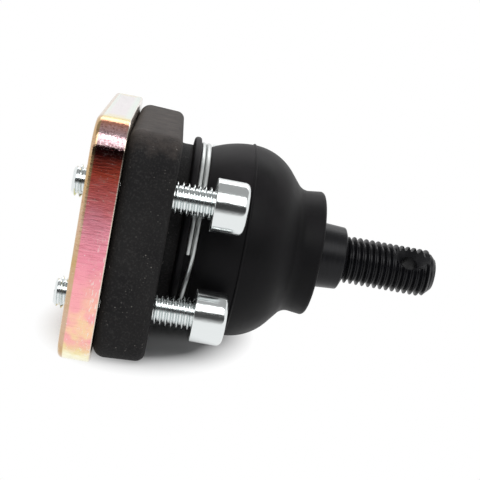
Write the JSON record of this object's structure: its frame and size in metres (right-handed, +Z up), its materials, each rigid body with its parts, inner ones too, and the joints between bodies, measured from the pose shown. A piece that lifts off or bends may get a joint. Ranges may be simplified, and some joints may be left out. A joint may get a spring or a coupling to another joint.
{
  "type": "suspension ball joint",
  "caption": "Bolt-on suspension ball joint: flanged housing, swivelling taper stud with rubber boot, and a screwed clamp plate that grips a control arm.",
  "frame": {"origin": "middle of the flange's clamp face, where the clamp plate meets it, on the stud's axis", "axes": "+X along the stud towards its thread, +Z up, Y across the longer side of the flange"},
  "size_m": [0.0727, 0.0568, 0.0448],
  "materials": {
    "black_forging": "rough",
    "yellow_zinc": "satin",
    "bright_zinc": "satin",
    "dark_steel": "satin",
    "boot_rubber": "matte",
    "bearing_plastic": "matte",
    "spring_steel": "satin"
  },
  "bodies": {
    "housing": {"housing": "black_forging", "closing_cap": "dark_steel", "preload_spring": "spring_steel", "bearing_rear": "bearing_plastic", "bearing_front": "bearing_plastic", "boot": "boot_rubber", "clip_wire": "spring_steel"},
    "boot_shoulder": {"boot_shoulder": "boot_rubber"},
    "boot_nose": {"boot_nose": "boot_rubber"},
    "stud": {"ball_stud": "dark_steel"},
    "plate": {"clamp_plate": "yellow_zinc"},
    "screw_1": {"screw_1": "bright_zinc"},
    "screw_2": {"screw_2": "bright_zinc"},
    "screw_3": {"screw_3": "bright_zinc"},
    "screw_4": {"screw_4": "bright_zinc"}
  },
  "joints": [
    {"name": "stud_swing_y", "type": "hinge", "parent": "housing", "child": "boot_shoulder", "pos_m": [0.0155, 0, 0], "axis": [0, 1, 0], "range_deg": [-20, 20], "deforming": ["boot", "boot_shoulder"]},
    {"name": "stud_swing_z", "type": "hinge", "parent": "boot_shoulder", "child": "boot_nose", "pos_m": [0.0155, 0, 0], "axis": [0, 0, 1], "range_deg": [-20, 20], "deforming": ["boot_shoulder"]},
    {"name": "stud_spin", "type": "hinge", "parent": "boot_nose", "child": "stud", "pos_m": [0.0155, 0, 0], "axis": [1, 0, 0], "continuous": true},
    {"name": "plate_slide", "type": "slide", "parent": "housing", "child": "plate", "axis": [-1, 0, 0], "range_m": [0, 0.0071]},
    {"name": "screw_1_turn", "type": "hinge", "parent": "plate", "child": "screw_1", "pos_m": [0, -0.0225, 0.0103], "axis": [1, 0, 0], "continuous": true},
    {"name": "screw_2_turn", "type": "hinge", "parent": "plate", "child": "screw_2", "pos_m": [0, -0.0225, -0.0103], "axis": [1, 0, 0], "continuous": true},
    {"name": "screw_3_turn", "type": "hinge", "parent": "plate", "child": "screw_3", "pos_m": [0, 0.0225, 0.0103], "axis": [1, 0, 0], "continuous": true},
    {"name": "screw_4_turn", "type": "hinge", "parent": "plate", "child": "screw_4", "pos_m": [0, 0.0225, -0.0103], "axis": [1, 0, 0], "continuous": true}
  ]
}
